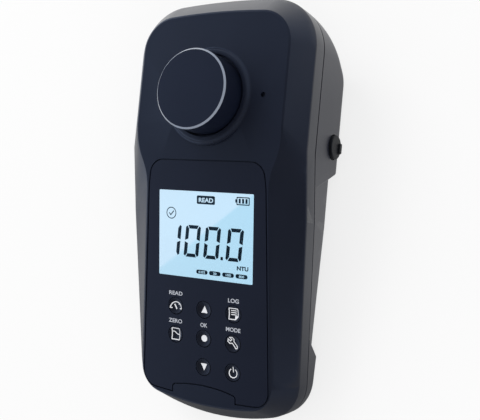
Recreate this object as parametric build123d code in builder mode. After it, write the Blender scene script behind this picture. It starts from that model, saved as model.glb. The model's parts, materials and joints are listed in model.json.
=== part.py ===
# Handheld turbidity meter lying on its back: +X is its right, +Y runs to its head, +Z is up.
# Lengths are millimetres and angles are degrees. Origin: middle of the footprint on the bench.
from build123d import *
import math
import os

os.makedirs("parts", exist_ok=True)

# Outline of the moulded body, seen from above
body_length = 184.6
rim_half = 44.6
rim_half_tail = 41.6
rim_crown_top = 3.0
rim_crown_tail = 9.0
rim_corner_top = 22.5
rim_corner_tail = 18.0

# Head face and the sloping display face
head_z = 47.0
crease_y = 36.0
face_slope = 9.1
bevel_width = 7.5
bevel_depth = 9.4
face_crown = 2.2
face_corner = 15.0
face_edge_in = 0.8
face_edge_drop = 0.4
neck_half = 31.7
neck_from = -3.0
neck_to = -29.0
face_tail_half = 34.0
face_tail_crown = 4.2
face_tail_corner = 11.5
tail_bevel_width = 5.6

# Rim and seam between the two housings
rim_bend_y = 26.0
rim_slope = 10.7
rim_height = 7.5
rim_round = 1.5
seam_gap = 0.8
wall = 2.4
face_wall = 3.4

# Back: head block, slanted shelf, recessed grip and foot
back_draft = 0.8
grip_back_z = 6.0
grip_inset = 2.4
grip_tail_inset = 1.6
shelf_y = 22.5
shelf_rise = 17.0
shelf_run = 7.0
shelf_overlap = 3.6
slope_from_y = 66.0
slope_to_y = 90.0
slope_rise = 27.0
slope_radius = 12.0
foot_from_y = -58.0
foot_run = 4.0
head_edge_radius = 6.0
shelf_edge_radius = 1.0
grip_edge_radius = 4.5
foot_edge_chamfer = 2.0

# Sample well, light shield cap and collar
well_y = 48.1
cell_r = 12.3
well_wall = 2.0
well_floor_z = 10.5
well_base = 1.8
well_rim_rise = 2.5
well_flange_r = 18.5
well_flange = 1.6
well_clearance = 0.3
port_z = 25.0
port_r = 2.6
cap_r = 17.0
cap_rise = 14.3
cap_wall = 1.6
cap_top = 1.8
cap_chamfer = 0.7
cap_seat = 0.15
cap_seal_height = 1.6
cap_seal_clearance = 0.1
collar_in_r = 17.7
collar_out_r = 21.4
collar_rise = 1.7
index_x = 26.7
index_r = 1.1
index_depth = 1.4
cap_seal_up = 0.45
well_lead_in = 0.5
seal_thick = 1.2
pedestal_wall = 3.3

# Front panel, display and keys: u runs along the display face from the crease, towards the head
panel_pocket = 0.8
panel_sink = 0.05
panel_gap = 0.55
panel_top_u = -16.0
panel_top_half = 28.2
panel_neck_u = -27.0
panel_neck_half = 29.6
panel_tail_u = -120.6
panel_tail_half = 32.4
panel_tail_crown = 1.6
panel_corner = 6.5
tab_half = 16.2
tab_rise = 5.2
tab_crown = 1.9
tab_corner = 1.5
lcd_u = -48.3
lcd_view = (48.3, 38.1)
lcd_margin = 0.9
lcd_thick = 1.9
lcd_clearance = 0.1
window_clearance = 0.05
window_corner = 0.4
backlight_thick = 2.1
frame_wall = 1.6
frame_lip = 1.0
key_pitch_x = 15.0
key_rows_u = (-81.0, -93.9, -106.7)
key_r = 3.8
key_hole_clearance = 0.2
key_flange = 0.9
key_flange_thick = 1.0
key_flange_gap = 0.15
key_flange_clearance = 0.3
key_stem_r = 2.0
key_travel = 0.6
key_stem_gap = 0.1
key_dish = 0.8
key_land = 0.4
mat_level = 4.5
mat_thick = 0.7
mat_size = (42.0, 36.0)
dome_thick = 0.5
dome_r = 3.0
board_level = 5.7
board_thick = 1.6
board_half = 27.0
board_top_u = -17.0
board_tail_u = -112.5

# Fasteners
screw_points = ((32.0, 62.0), (24.0, 28.0), (26.0, -79.5))
screw_r = 1.5
screw_head_r = 2.75
screw_head_height = 2.0
screw_grip = 6.0
boss_r = 3.6
screw_boss_wall = 1.5
thread_bite = 8.0
screw_clearance = 0.2
screw_head_clearance = 0.25
screw_socket_r = 1.4
thread_clearance = 0.05
board_screw_half = 24.5
board_screw_us = (-20.5, -109.0)
board_screw_r = 1.1
board_boss_r = 2.4
board_screw_head_r = 1.9
board_screw_head = 1.3
board_screw_bite = 3.2

# Batteries, compartment and sliding door
battery_r = 5.25
battery_length = 44.5
battery_nub = (1.9, 1.0)
battery_gap = 0.6
battery_count = 4
battery_head_y = 6.5
contact_space = 3.4
contact_thick = 0.4
contact_half = 3.0
contact_reach = 4.2
box_wall = 1.5
door_thick = 2.0
door_half = 26.0
door_head_y = 12.0
door_length = 57.0
door_travel = 4.0
door_clearance = 0.3
door_drop = 0.05
door_corner = 2.7
battery_lift = 0.25
bay_half = 29.5
bay_floor = 4.0
bay_margin = 9.0
rail_height = 0.9
rail_reach = 1.2
tongue_ys = (-5.0, -35.0)
tongue_length = 3.4
tongue_z = 1.0
tongue_clearance = 0.15
rib_count = 5
rib_length = 22.0
rib_rise = 0.5

# Port and its rubber plug on the right side of the head
port_y = 32.3
plug_z = 10.4
plug_r = 5.3
plug_gap = 0.4
plug_sink = 0.9
plug_thick = 2.4
plug_stem_r = 3.4
plug_stem = 3.2
plug_stem_clearance = 0.25
socket_depth = 8.0
socket_half = 5.0
socket_x = 36.6
pull_tab = (1.3, 4.6, 2.0)

# Optics round the sample well
socket_wall = 1.8
socket_reach = 5.0
can_clearance = 0.1
can_flange_r = 3.3
can_flange_thick = 1.0
lead_r = 0.3
lead_pitch = 2.54
lead_clearance = 0.1
optic_board = (12.0, 14.0)
optic_board_thick = 1.2
optic_board_corner = 1.0
lamp_way = (0, 1, 0)
across_way = (-1, 0, 0)
behind_way = (0, -1, 0)
flex_thick = 0.3
flex_half = 4.0
board_link_u = -22.0
chip_height = 1.5

# Worked out from the sizes above
head_run = 150.0
grip_run = 100.0
top_y = body_length / 2
tail_y = -body_length / 2
seam_z = head_z - bevel_depth - rim_height
rim_tan = math.tan(math.radians(rim_slope))
rim_cos = math.cos(math.radians(rim_slope))
face_sin = math.sin(math.radians(face_slope))
face_cos = math.cos(math.radians(face_slope))
display_plane = Plane(origin=(0, crease_y, head_z), x_dir=(1, 0, 0), z_dir=(0, -face_sin, face_cos))
rim_tail = (tail_y - rim_bend_y) / rim_cos
wall_x = rim_half - back_draft * (seam_z - plug_z) / seam_z
base_up = (Align.CENTER, Align.CENTER, Align.MIN)
well_r = cell_r + well_wall
well_rim_z = head_z + well_rim_rise
well_base_z = well_floor_z - well_base
socket_end = well_r + socket_reach
lcd_size = (lcd_view[0] + 2 * lcd_margin, lcd_view[1] + 2 * lcd_margin)
counterbore_r = screw_head_r + screw_head_clearance
gasket_inset = 0.8
gasket_width = 1.4
battery_z = grip_back_z + door_thick + battery_lift + battery_r
cell_space = (battery_count * (2 * battery_r + battery_gap) + battery_gap, battery_length + 2 * contact_space)
cell_mid_y = battery_head_y - battery_length / 2
box_top = battery_z + battery_r + battery_lift + box_wall
box_mid_y = door_head_y - (door_length + door_travel) / 2
recess_length = door_length + door_travel + 2 * door_clearance
key_spots = {
    "key_measure": (-key_pitch_x, key_rows_u[0]),
    "key_up": (0, key_rows_u[0]),
    "key_log": (key_pitch_x, key_rows_u[0]),
    "key_calibrate": (-key_pitch_x, key_rows_u[1]),
    "key_enter": (0, key_rows_u[1]),
    "key_setup": (key_pitch_x, key_rows_u[1]),
    "key_down": (0, key_rows_u[2]),
    "key_power": (key_pitch_x, key_rows_u[2]),
}


def seam_at(y):
    """Height of the seam between the housings at a place along the body."""
    return seam_z + min(0, y - rim_bend_y) * rim_tan


def face_at(u, drop):
    """Height of a level under the display face at a distance along it."""
    return head_z + u * face_sin - drop * face_cos


def sloping_plane(z):
    """The plane of the grip's rim, set to a height at its bend."""
    normal = (0, -math.sin(math.radians(rim_slope)), rim_cos)
    return Plane(origin=(0, rim_bend_y, z), x_dir=(1, 0, 0), z_dir=normal)


def flat_plane(z):
    """A level plane that shares the sloping plane's origin."""
    return Plane(origin=(0, rim_bend_y, z), x_dir=(1, 0, 0), z_dir=(0, 0, 1))


def head_outline(plane, half, top, crown, corner):
    """Head end of the outline: crowned top, round corners, straight sides."""
    with BuildSketch(plane) as outline:
        with BuildLine():
            Polyline((half, top - crown), (half, -head_run), (-half, -head_run), (-half, top - crown))
            ThreePointArc((-half, top - crown), (0, top), (half, top - crown))
        make_face()
        fillet(outline.vertices().group_by(Axis.Y)[-1], radius=corner)
    return outline.sketch


def grip_outline(plane, head_half, neck, tail_half, tail, crown, corner):
    """Grip end of the outline: S-curves into the neck, a slight flare and a round tail."""
    shoulder = tail + crown
    pull = (neck_from - neck_to) / 2
    with BuildSketch(plane) as outline:
        with BuildLine():
            Line((head_half, grip_run), (head_half, neck_from))
            Bezier(
                (head_half, neck_from),
                (head_half, neck_from - pull),
                (neck, neck_to + pull),
                (neck, neck_to),
            )
            Line((neck, neck_to), (tail_half, shoulder))
            ThreePointArc((tail_half, shoulder), (0, tail), (-tail_half, shoulder))
            Line((-tail_half, shoulder), (-neck, neck_to))
            Bezier(
                (-neck, neck_to),
                (-neck, neck_to + pull),
                (-head_half, neck_from - pull),
                (-head_half, neck_from),
            )
            Line((-head_half, neck_from), (-head_half, grip_run))
            Line((-head_half, grip_run), (head_half, grip_run))
        make_face()
        fillet(outline.vertices().group_by(Axis.Y)[0], radius=corner)
    return outline.sketch


def rim_outline(plane, inset):
    """The grip's outline at the rim, drawn in by an inset."""
    return grip_outline(
        plane,
        rim_half - inset,
        rim_half - inset,
        rim_half_tail - inset,
        rim_tail + inset,
        rim_crown_tail,
        rim_corner_tail,
    )


def bevelled_block(face, eased, lower, rim_round, rim_plane):
    """An eased face edge and a bevel, ruled from the face down to the lower outline, then straight walls."""
    with BuildPart() as block:
        loft([face, eased, lower], ruled=True)
        extrude(lower, amount=head_z, dir=(0, 0, -1))
        if rim_round > 0:
            fillet(block.edges().filter_by(lambda edge: rim_plane.contains(edge @ 0.5)), radius=rim_round)
    return block.part


def head_face(plane, inset):
    """Outline of the head's face, drawn in by an inset."""
    return head_outline(
        plane,
        rim_half - bevel_width - inset,
        top_y - bevel_width - inset,
        face_crown,
        face_corner - inset,
    )


def display_face(plane, inset, tail_inset):
    """Outline of the display face with its neck, drawn in by an inset."""
    return grip_outline(
        plane,
        rim_half - bevel_width - inset,
        neck_half - inset,
        face_tail_half - inset,
        (tail_y + tail_bevel_width - crease_y) / face_cos + tail_inset,
        face_tail_crown,
        face_tail_corner - inset,
    )


def front_mass(inset, face_inset, rim_round=0.0):
    """The front housing's outer form, or its cavity when the insets are walls."""
    bevel_inset = inset * 0.8
    eased_inset = bevel_inset + face_edge_in
    head_rim_z = head_z - bevel_depth - inset * 0.4
    head = bevelled_block(
        head_face(Plane.XY.offset(head_z - face_inset), eased_inset),
        head_face(Plane.XY.offset(head_z - face_inset - face_edge_drop), bevel_inset),
        head_outline(
            Plane.XY.offset(head_rim_z),
            rim_half - inset,
            top_y - inset,
            rim_crown_top,
            rim_corner_top,
        ),
        rim_round,
        Plane.XY.offset(head_rim_z),
    )
    grip = bevelled_block(
        display_face(display_plane.offset(-face_inset), eased_inset, inset + face_edge_in),
        display_face(display_plane.offset(-face_inset - face_edge_drop), bevel_inset, inset),
        rim_outline(sloping_plane(head_rim_z), inset),
        rim_round,
        sloping_plane(head_rim_z),
    )
    return head & grip


def side_prism(*points, corner=None, radius=0.0):
    """A prism across the whole body from a side view of (y, z) points, one corner rounded."""
    with BuildPart() as prism:
        with BuildSketch(Plane.YZ) as side:
            with BuildLine():
                Polyline(*points, close=True)
            make_face()
            if corner is not None:
                fillet(side.vertices().sort_by_distance(corner)[0], radius=radius)
        extrude(amount=rim_half + 10, both=True)
    return prism.part


def below_seam(drop):
    """Everything under the seam surface, moved down by a drop."""
    low = tail_y - 10
    high = top_y + 10
    return side_prism(
        (low, seam_at(low) - drop),
        (rim_bend_y, seam_z - drop),
        (high, seam_z - drop),
        (high, -10),
        (low, -10),
    )


def rear_head(inset):
    """The deep head block behind the seam, with its slanted shelf and sloping top."""
    reach = 2 * seam_z
    slant = shelf_run / shelf_rise
    steep = slope_rise / (slope_to_y - slope_from_y)
    far = top_y + 20
    foot_y = slope_from_y - inset * 0.4
    profile = side_prism(
        (shelf_y + inset - inset * slant, inset),
        (foot_y, inset),
        (far, inset + (far - foot_y) * steep),
        (far, reach + 5),
        (shelf_y + inset - slant * (reach + 5), reach + 5),
        corner=(foot_y, inset),
        radius=slope_radius,
    )
    with BuildPart() as block:
        loft(
            [
                head_outline(
                    Plane.XY.offset(reach),
                    rim_half + back_draft - inset,
                    top_y + back_draft - inset,
                    rim_crown_top,
                    rim_corner_top,
                ),
                head_outline(
                    Plane.XY,
                    rim_half - back_draft - inset,
                    top_y - back_draft - inset,
                    rim_crown_top,
                    rim_corner_top,
                ),
            ],
            ruled=True,
        )
        add(profile, mode=Mode.INTERSECT)
        low_edges = block.edges().filter_by(lambda edge: (edge @ 0.5).Z < seam_z and abs((edge @ 0.5).X) > 1)
        back_edges = low_edges.filter_by(lambda edge: (edge @ 0.5).Y > shelf_y + inset + 1)
        fillet(back_edges, radius=head_edge_radius - inset)
        if inset == 0:
            shelf = block.faces().sort_by(Axis((0, 0, 0), (0, -shelf_rise, -shelf_run)))[-1]
            fillet(shelf.edges().filter_by(lambda edge: (edge @ 0.5).Z < reach - 1), radius=shelf_edge_radius)
    return block.part


def rear_grip(inset):
    """The shallower grip behind the seam, its sides drawn in towards the back."""
    level = grip_back_z + inset
    side_inset = inset + grip_inset
    profile = side_prism(
        (foot_from_y - foot_run, level),
        (shelf_y + shelf_overlap, level),
        (shelf_y + shelf_overlap, seam_z + 10),
        (foot_from_y - foot_run, seam_z + 10),
    )
    with BuildPart() as block:
        loft(
            [
                rim_outline(sloping_plane(seam_z), inset),
                grip_outline(
                    flat_plane(level),
                    rim_half - side_inset,
                    rim_half - side_inset,
                    rim_half_tail - inset - grip_tail_inset,
                    rim_tail + inset + grip_tail_inset,
                    rim_crown_tail,
                    rim_corner_tail,
                ),
            ],
            ruled=True,
        )
        add(profile, mode=Mode.INTERSECT)
        back_edges = block.edges().filter_by(
            lambda edge: abs((edge @ 0.5).Z - level) < 0.1 and abs((edge @ 0.5).X) > 1
        )
        fillet(back_edges, radius=grip_edge_radius - inset)
    return block.part


def rear_foot(inset):
    """The raised foot at the tail."""
    side_inset = inset + grip_tail_inset
    slant = foot_run / grip_back_z
    start_y = foot_from_y - foot_run - inset
    profile = side_prism(
        (start_y, inset),
        (tail_y - 10, inset),
        (tail_y - 10, seam_z),
        (start_y + slant * (seam_z - inset), seam_z),
    )
    with BuildPart() as block:
        loft(
            [
                rim_outline(sloping_plane(seam_z), inset),
                grip_outline(
                    flat_plane(inset),
                    rim_half - side_inset,
                    rim_half - side_inset,
                    rim_half_tail - side_inset,
                    rim_tail + side_inset,
                    rim_crown_tail,
                    rim_corner_tail,
                ),
            ],
            ruled=True,
        )
        add(profile, mode=Mode.INTERSECT)
        back_edges = block.edges().filter_by(lambda edge: abs((edge @ 0.5).Z - inset) < 0.1)
        chamfer(back_edges, length=max(foot_edge_chamfer - inset * 0.6, 0.4))
    return block.part


def rear_form(inset):
    """The rear housing's outer form, or its cavity when the inset is a wall."""
    return rear_head(inset) + rear_grip(inset) + rear_foot(inset)


def on_face(level):
    """A plane along the display face, at a depth under it."""
    return display_plane.offset(-level)


def panel_outline(grow):
    """The front panel's outline with the tail tab cut out of it, grown by a margin."""
    with BuildSketch() as outline:
        with BuildLine():
            shoulder = panel_tail_u + panel_tail_crown
            Polyline(
                (panel_tail_half, shoulder),
                (panel_neck_half, panel_neck_u),
                (panel_top_half, panel_top_u),
                (-panel_top_half, panel_top_u),
                (-panel_neck_half, panel_neck_u),
                (-panel_tail_half, shoulder),
            )
            ThreePointArc((-panel_tail_half, shoulder), (0, panel_tail_u), (panel_tail_half, shoulder))
        make_face()
        fillet(outline.vertices().group_by(Axis.Y)[0], radius=panel_corner)
        fillet(outline.vertices().group_by(Axis.Y)[-1], radius=panel_corner)
        offset(amount=grow, kind=Kind.INTERSECTION)
    with BuildSketch() as tab:
        with BuildLine():
            low = panel_tail_u - 10
            side = panel_tail_u + tab_rise - tab_crown
            Polyline((-tab_half, side), (-tab_half, low), (tab_half, low), (tab_half, side))
            ThreePointArc((tab_half, side), (0, panel_tail_u + tab_rise), (-tab_half, side))
        make_face()
        fillet(tab.vertices().group_by(Axis.Y)[-1], radius=tab_corner)
        offset(amount=panel_gap - grow, kind=Kind.INTERSECTION)
    return outline.sketch - tab.sketch


def disc_on(way, start, radius, length):
    """A cylinder that leaves the optical axis of the sample well in a direction."""
    centre = Vector(0, well_y, port_z) + Vector(*way) * start
    return Plane(centre, z_dir=way) * Cylinder(radius, length, align=base_up, mode=Mode.PRIVATE)


def make_board(way):
    """A small circuit board standing behind a lamp or detector, with holes for its leads."""
    centre = Vector(0, well_y, port_z) + Vector(*way) * (socket_end + can_flange_thick)
    across = Vector(0, 0, 1).cross(Vector(*way))
    with BuildPart() as board:
        with BuildSketch(Plane(centre, x_dir=across, z_dir=way)):
            RectangleRounded(optic_board[0], optic_board[1], optic_board_corner)
            with Locations((-lead_pitch / 2, 0), (lead_pitch / 2, 0)):
                Circle(lead_r + lead_clearance, mode=Mode.SUBTRACT)
        extrude(amount=optic_board_thick)
    return board.part


def make_can(way, tip, domed):
    """A lamp or detector in its socket: body, flange and two leads."""
    centre = Vector(0, well_y, port_z) + Vector(*way) * tip
    across = Vector(0, 0, 1).cross(Vector(*way))
    with BuildPart() as can:
        add(disc_on(way, tip, port_r - can_clearance, socket_end - tip))
        if domed:
            tip_edge = can.edges().filter_by(GeomType.CIRCLE).sort_by_distance(centre)[0]
            fillet(tip_edge, radius=port_r - can_clearance - 0.2)
        else:
            chamfer(can.edges().filter_by(GeomType.CIRCLE).sort_by_distance(centre)[0], length=0.4)
        add(disc_on(way, socket_end, can_flange_r, can_flange_thick))
        with BuildSketch(Plane(centre, x_dir=across, z_dir=way).offset(socket_end - tip)):
            with Locations((-lead_pitch / 2, 0), (lead_pitch / 2, 0)):
                Circle(lead_r)
        extrude(amount=can_flange_thick + optic_board_thick + 1)
    return can.part


def make_key(x, u):
    """A dished round key with a flange under the panel and a stem over its dome."""
    centre = display_plane.from_local_coords(Vector(x, u, 0))
    top = -panel_sink
    flange_top = -panel_pocket - key_flange_gap
    flange_low = flange_top - key_flange_thick
    stem_low = -mat_level + key_travel + key_stem_gap
    dish_r = key_r - key_land
    ball_r = (dish_r**2 + key_dish**2) / (2 * key_dish)
    ball = display_plane.from_local_coords(Vector(x, u, top - key_dish + ball_r))
    with BuildPart() as key:
        with BuildSketch(Plane(centre, x_dir=(1, 0, 0), z_dir=(0, -face_cos, -face_sin))):
            with BuildLine():
                Polyline(
                    (0, top),
                    (0, stem_low),
                    (key_stem_r, stem_low),
                    (key_stem_r, flange_low),
                    (key_r + key_flange, flange_low),
                    (key_r + key_flange, flange_top),
                    (key_r, flange_top),
                    (key_r, top - key_land / 2),
                    (key_r - key_land / 2, top),
                    close=True,
                )
            make_face()
        revolve(axis=Axis(centre, (0, -face_sin, face_cos)))
        with Locations(ball):
            Sphere(ball_r, mode=Mode.SUBTRACT)
    return key.part


def make_leaf(x, wall_y, tip_y):
    """A bent contact strip that stands on an end wall and presses on a battery."""
    side = 1 if wall_y > tip_y else -1
    inner = wall_y - side * contact_thick
    free = inner - side * contact_thick
    with BuildPart() as leaf:
        with BuildSketch(Plane.YZ.offset(x - contact_half)):
            Polygon(
                (wall_y, battery_z - contact_reach),
                (tip_y, battery_z),
                (free - side * contact_thick, battery_z + contact_reach * 0.9),
                (free, battery_z + contact_reach * 0.9),
                (tip_y + side * contact_thick * 1.2, battery_z),
                (inner, battery_z - contact_reach * 0.85),
                (inner, battery_z + contact_reach),
                (wall_y, battery_z + contact_reach),
                align=None,
            )
        extrude(amount=2 * contact_half)
    return leaf.part


def make_battery(x, way):
    """A round cell lying along the body, its small pole pointing in a direction."""
    body = battery_length - battery_nub[1]
    start = battery_head_y - battery_length / 2 - way * battery_length / 2
    with BuildPart() as cell:
        with BuildSketch(Plane((x, start, battery_z), z_dir=(0, way, 0))):
            Circle(battery_r)
        extrude(amount=body)
        chamfer(cell.edges().filter_by(GeomType.CIRCLE), length=0.4)
        with BuildSketch(Plane((x, start + way * body, battery_z), z_dir=(0, way, 0))):
            Circle(battery_nub[0])
        extrude(amount=battery_nub[1])
    return cell.part


def screw_seat(y):
    """Height of the face that a housing screw's head bears on."""
    return seam_at(y) - screw_grip


def boss_meet(y):
    """Height at which the two housings' screw bosses meet."""
    return seam_at(y) - seam_gap


def make_screw(x, y):
    """A housing screw that comes up from the back, with a hexagon socket."""
    seat = screw_seat(y)
    with BuildPart() as screw:
        with Locations((x, y, seat - screw_head_height)):
            Cylinder(screw_head_r, screw_head_height, align=base_up)
        with Locations((x, y, seat)):
            Cylinder(screw_r, boss_meet(y) - seat + thread_bite, align=base_up)
        with BuildSketch(Plane((x, y, seat - screw_head_height))):
            RegularPolygon(screw_socket_r, 6)
        extrude(amount=screw_head_height / 2, mode=Mode.SUBTRACT)
    return screw.part


def make_board_screw(x, u):
    """A small screw that holds the main board to a boss under the face."""
    with BuildPart() as screw:
        with BuildSketch(on_face(board_level + board_thick)):
            with Locations((x, u)):
                Circle(board_screw_head_r)
        extrude(amount=-board_screw_head)
        with BuildSketch(on_face(board_level + board_thick)):
            with Locations((x, u)):
                Circle(board_screw_r)
        extrude(amount=board_thick + board_screw_bite)
        with BuildSketch(on_face(board_level + board_thick + board_screw_head)):
            with Locations((x, u)):
                Rectangle(2 * board_screw_head_r, 0.5)
        extrude(amount=0.6, mode=Mode.SUBTRACT)
    return screw.part


def finish(part, name):
    """Labels a finished piece and writes it."""
    part.label = name
    export_step(part, f"parts/{name}.step")


# Both housings and the gasket between them
screw_spots = [(side * x, y) for x, y in screw_points for side in (-1, 1)]
board_screw_spots = [(side * board_screw_half, u) for u in board_screw_us for side in (-1, 1)]
front_form = front_mass(0, 0, rim_round)
front_cavity = front_mass(wall, face_wall)
rear_outer = rear_form(0)
rear_cavity = rear_form(wall)
under_seam = below_seam(0)
under_gap = below_seam(seam_gap)
well_axis = Axis((0, well_y, 0), (0, 0, 1))
well_side = Plane((0, well_y, 0), x_dir=(1, 0, 0), z_dir=(0, -1, 0))

with BuildPart() as front_housing:
    add(front_form)
    add(front_cavity, mode=Mode.SUBTRACT)
    add(under_seam, mode=Mode.SUBTRACT)
    # collar round the well
    with BuildSketch(well_side):
        with BuildLine():
            top = head_z + collar_rise
            root = head_z - face_wall / 2
            Polyline(
                (collar_out_r, head_z),
                (collar_out_r, root),
                (collar_in_r, root),
                (collar_in_r, top - 0.4),
            )
            ThreePointArc(
                (collar_in_r, top - 0.4),
                (collar_in_r + 0.12, top - 0.12),
                (collar_in_r + 0.4, top),
            )
            Line((collar_in_r + 0.4, top), (collar_in_r + 1.4, top))
            Bezier(
                (collar_in_r + 1.4, top),
                (collar_in_r + 2.6, top),
                (collar_out_r - 1.2, head_z),
                (collar_out_r, head_z),
            )
        make_face()
    revolve(axis=well_axis)
    with Locations((0, well_y, head_z - 2 * face_wall)):
        Cylinder(well_r + well_clearance, 4 * face_wall, align=base_up, mode=Mode.SUBTRACT)
    with Locations((0, well_y, head_z - face_wall - 2 * seal_thick)):
        Cylinder(well_flange_r + well_clearance, 2 * seal_thick, align=base_up, mode=Mode.SUBTRACT)
    with Locations((index_x, well_y, head_z)):
        Hole(index_r, depth=index_depth)
    # pocket and openings of the front panel
    with BuildSketch(on_face(0)):
        add(panel_outline(panel_gap))
    extrude(amount=-panel_pocket, mode=Mode.SUBTRACT)
    with BuildSketch(on_face(0)):
        with Locations((0, lcd_u)):
            Rectangle(lcd_size[0] + 2 * lcd_clearance, lcd_size[1] + 2 * lcd_clearance)
    extrude(amount=-2 * face_wall, mode=Mode.SUBTRACT)
    with BuildSketch(on_face(0)):
        with Locations(*key_spots.values()):
            Circle(key_r + key_flange + key_flange_clearance)
    extrude(amount=-2 * face_wall, mode=Mode.SUBTRACT)
    # bosses of the main board
    with BuildSketch(on_face(board_level)):
        with Locations(*board_screw_spots):
            Circle(board_boss_r)
    extrude(amount=board_level - face_wall / 2)
    with BuildSketch(on_face(board_level)):
        with Locations(*board_screw_spots):
            Circle(board_screw_r + thread_clearance)
    extrude(amount=board_screw_bite + 0.4, mode=Mode.SUBTRACT)
    # bosses of the housing screws
    for x, y in screw_spots:
        ceiling = face_at(min(0, y - crease_y) / face_cos, face_wall / 2)
        with Locations((x, y, boss_meet(y))):
            Cylinder(boss_r, ceiling - boss_meet(y), align=base_up)
            Cylinder(screw_r + thread_clearance, thread_bite + 1, align=base_up, mode=Mode.SUBTRACT)
finish(front_housing.part, "front_housing")

# Screw bosses of the head, the well's pedestal and the pad of the port, kept inside the outer form
with BuildPart() as stands:
    for x, y in screw_spots:
        if y > shelf_y:
            with Locations((x, y, 0)):
                Cylinder(counterbore_r + screw_boss_wall, boss_meet(y), align=base_up)
    with Locations((0, well_y, 0)):
        Cylinder(well_r, well_base_z, align=base_up)
        Cylinder(well_r - pedestal_wall, well_base_z, align=base_up, mode=Mode.SUBTRACT)
    with Locations((socket_x, port_y, 0)):
        Box(socket_depth, 2 * socket_half, plug_z - socket_half, align=base_up)
    add(rear_head(wall / 2), mode=Mode.INTERSECT)

with BuildPart() as rear_housing:
    add(rear_outer)
    add(under_gap, mode=Mode.INTERSECT)
    add(rear_cavity, mode=Mode.SUBTRACT)
    add(stands.part)
    for x, y in screw_spots:
        if y < shelf_y:
            with Locations((x, y, wall / 2)):
                Cylinder(counterbore_r + screw_boss_wall, boss_meet(y) - wall / 2, align=base_up)
    for x, y in screw_spots:
        with Locations((x, y, -1)):
            Cylinder(counterbore_r, screw_seat(y) + 1, align=base_up, mode=Mode.SUBTRACT)
            Cylinder(screw_r + screw_clearance, seam_z + 1, align=base_up, mode=Mode.SUBTRACT)
    # battery box, door recess and the slots of the door's tongues
    with Locations((0, box_mid_y, grip_back_z + wall / 2)):
        Box(2 * bay_half, door_length + bay_margin, bay_floor - wall / 2, align=base_up)
    with Locations((0, cell_mid_y, grip_back_z + wall)):
        Box(
            cell_space[0] + 2 * box_wall,
            cell_space[1] + 2 * box_wall,
            box_top - grip_back_z - wall,
            align=base_up,
        )
    with Locations((0, cell_mid_y, 0)):
        Box(*cell_space, box_top - box_wall, align=base_up, mode=Mode.SUBTRACT)
    with BuildSketch(Plane.XY.offset(grip_back_z - 1)):
        with Locations((0, door_head_y + door_clearance - recess_length / 2)):
            RectangleRounded(2 * (door_half + door_clearance), recess_length, door_corner + door_clearance)
    extrude(amount=1 + door_thick + door_drop, mode=Mode.SUBTRACT)
    for y in tongue_ys:
        slot_y = y + (tongue_length - door_travel) / 2
        with Locations((0, slot_y, grip_back_z + tongue_z - tongue_clearance)):
            Box(
                2 * (door_half + rail_reach + door_clearance),
                tongue_length + door_travel + 2 * door_clearance,
                door_thick - tongue_z + tongue_clearance + door_drop,
                align=base_up,
                mode=Mode.SUBTRACT,
            )
        with Locations((0, y + tongue_length / 2 - door_travel, 0)):
            Box(
                2 * (door_half + rail_reach + door_clearance),
                tongue_length + 2 * door_clearance,
                grip_back_z + door_thick,
                align=base_up,
                mode=Mode.SUBTRACT,
            )
    # recess and hole of the port
    with BuildSketch(Plane((wall_x - plug_sink, port_y, plug_z), z_dir=(1, 0, 0))):
        Circle(plug_r + plug_gap)
    extrude(amount=plug_sink + 3, mode=Mode.SUBTRACT)
    with BuildSketch(Plane((wall_x, port_y, plug_z), z_dir=(1, 0, 0))):
        Circle(plug_stem_r + plug_stem_clearance)
    extrude(amount=-2 * wall, mode=Mode.SUBTRACT)
finish(rear_housing.part, "rear_housing")

with BuildPart() as housing_gasket:
    add(front_mass(gasket_inset, gasket_inset))
    add(front_mass(gasket_inset + gasket_width, gasket_inset + gasket_width), mode=Mode.SUBTRACT)
    add(under_seam, mode=Mode.INTERSECT)
    add(under_gap, mode=Mode.SUBTRACT)
finish(housing_gasket.part, "housing_gasket")

with BuildPart() as housing_screws:
    for x, y in screw_spots:
        add(make_screw(x, y))
finish(housing_screws.part, "housing_screws")

# Front panel and display
with BuildPart() as front_overlay:
    with BuildSketch(on_face(panel_pocket)):
        add(panel_outline(0))
        with Locations((0, lcd_u)):
            RectangleRounded(
                lcd_view[0] + 2 * window_clearance,
                lcd_view[1] + 2 * window_clearance,
                window_corner + window_clearance,
                mode=Mode.SUBTRACT,
            )
        with Locations(*key_spots.values()):
            Circle(key_r + key_hole_clearance, mode=Mode.SUBTRACT)
    extrude(amount=panel_pocket - panel_sink)
finish(front_overlay.part, "front_overlay")

with BuildPart() as display_window:
    with BuildSketch(on_face(panel_pocket)):
        with Locations((0, lcd_u)):
            RectangleRounded(*lcd_view, window_corner)
    extrude(amount=panel_pocket - 2 * panel_sink)
finish(display_window.part, "display_window")

with BuildPart() as lcd_panel:
    with BuildSketch(on_face(panel_pocket)):
        with Locations((0, lcd_u)):
            Rectangle(*lcd_size)
    extrude(amount=-lcd_thick)
finish(lcd_panel.part, "lcd_panel")

with BuildPart() as backlight:
    with BuildSketch(on_face(panel_pocket + lcd_thick)):
        with Locations((0, lcd_u)):
            Rectangle(*lcd_size)
    extrude(amount=-backlight_thick)
finish(backlight.part, "backlight")

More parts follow.
